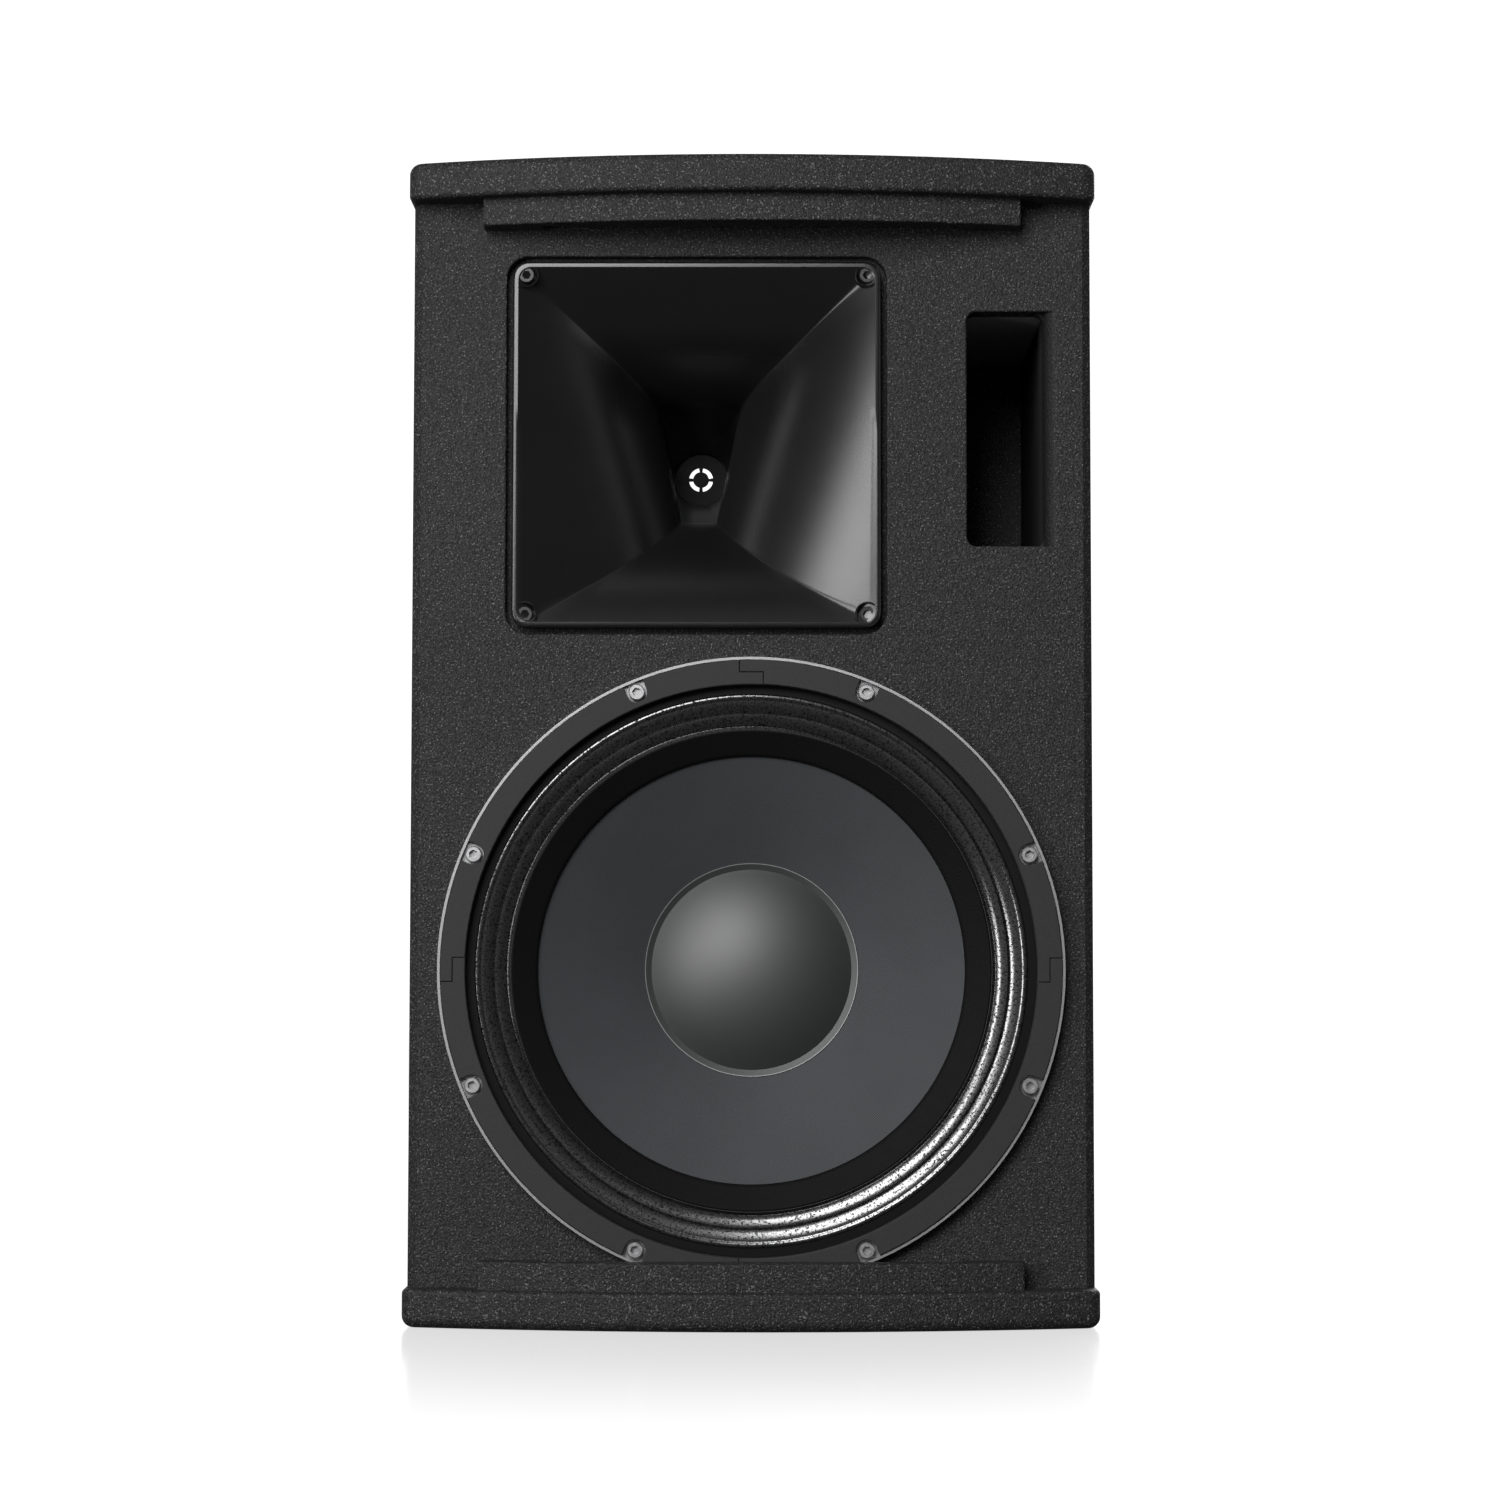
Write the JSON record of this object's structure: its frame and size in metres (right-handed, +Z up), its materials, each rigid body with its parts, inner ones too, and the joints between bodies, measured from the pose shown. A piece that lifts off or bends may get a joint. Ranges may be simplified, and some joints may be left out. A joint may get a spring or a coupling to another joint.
{
  "type": "pa speaker cabinet",
  "caption": "Full-range loudspeaker cabinet in textured black: woofer below, square horn and slot port above, bowed top and bottom caps, recessed side handles and pole socket.",
  "frame": {"origin": "middle of the footprint, on the surface that the cabinet stands on", "axes": "-Y out of the front, +X to the right of somebody who looks at the front, +Z up"},
  "size_m": [0.428, 0.4399, 0.721],
  "materials": {
    "textured_paint": "black textured polyurea paint on plywood",
    "birch_plywood": "raw",
    "horn_plastic": "satin black",
    "gasket": "matt black foam",
    "black_screws": "black oxide",
    "zinc_screws": "bright zinc",
    "zinc_nuts": "zinc",
    "cast_frame": "black coated casting with a bare rim",
    "cone_cloth": "woven, matt",
    "dust_cap": "coated, satin",
    "treated_cloth": "doped, glossy black",
    "copper_coil": "enamelled copper",
    "motor_steel": "black passivated",
    "ferrite": "matt",
    "phase_plug": "satin black",
    "titanium": "bright foil",
    "driver_cap": "satin black",
    "input_plate": "fine textured black",
    "socket_plastic": "matt black",
    "wood_screws": "black oxide",
    "circuit_board": "green solder mask",
    "nylon": "natural",
    "capacitor_film": "yellow film",
    "resistor_ceramic": "matt",
    "foam": "open-cell",
    "cast_black": "black coated",
    "handle_plastic": "moulded",
    "handle_bar": "ribbed grip"
  },
  "bodies": {
    "cabinet": {"bottom_panel": "textured_paint", "cross_brace": "birch_plywood", "crossover_board": "circuit_board", "crossover_capacitors": "capacitor_film", "crossover_resistor": "resistor_ceramic", "crossover_standoffs": "nylon", "damping_foam": "foam", "driver_back_plate": "motor_steel", "driver_bolts": "black_screws", "driver_front_plate": "motor_steel", "driver_magnet": "ferrite", "driver_rear_cap": "driver_cap", "front_baffle": "textured_paint", "gasket_lower_left": "gasket", "gasket_lower_right": "gasket", "gasket_upper_left": "gasket", "gasket_upper_right": "gasket", "handle_screws": "wood_screws", "high_pass_inductor": "copper_coil", "horn_flare": "horn_plastic", "horn_gasket": "gasket", "horn_screws": "black_screws", "horn_tee_nuts": "zinc_nuts", "input_plate": "input_plate", "input_plate_screws": "wood_screws", "input_socket": "socket_plastic", "left_handle_bar": "handle_bar", "left_handle_cup": "handle_plastic", "left_side_panel": "textured_paint", "link_socket": "socket_plastic", "low_pass_inductor": "copper_coil", "lower_grille_rail": "textured_paint", "motor_bolts": "zinc_screws", "phase_plug": "phase_plug", "pole_socket": "cast_black", "pole_socket_screws": "wood_screws", "port_back_wall": "textured_paint", "port_ceiling": "textured_paint", "port_floor": "textured_paint", "port_inner_wall": "textured_paint", "port_outer_wall": "textured_paint", "rear_panel": "textured_paint", "right_handle_bar": "handle_bar", "right_handle_cup": "handle_plastic", "right_side_panel": "textured_paint", "spider": "treated_cloth", "surround": "treated_cloth", "top_panel": "textured_paint", "upper_grille_rail": "textured_paint", "woofer_back_plate": "motor_steel", "woofer_frame": "cast_frame", "woofer_magnet": "ferrite", "woofer_screws": "zinc_screws", "woofer_tee_nuts": "zinc_nuts", "woofer_top_plate": "motor_steel"},
    "cone_assembly": {"cone": "cone_cloth", "dust_cap": "dust_cap", "voice_coil": "copper_coil"},
    "hf_diaphragm": {"hf_diaphragm": "titanium"}
  },
  "joints": [
    {"name": "cone_travel", "type": "slide", "parent": "cabinet", "child": "cone_assembly", "axis": [0, -1, 0], "range_m": [-0.008, 0.008], "stiffness_N_per_m": 5500, "deforming": ["surround", "spider"]},
    {"name": "hf_diaphragm_travel", "type": "slide", "parent": "cabinet", "child": "hf_diaphragm", "axis": [0, -1, 0], "range_m": [-0.0004, 0.0004], "stiffness_N_per_m": 2000}
  ]
}
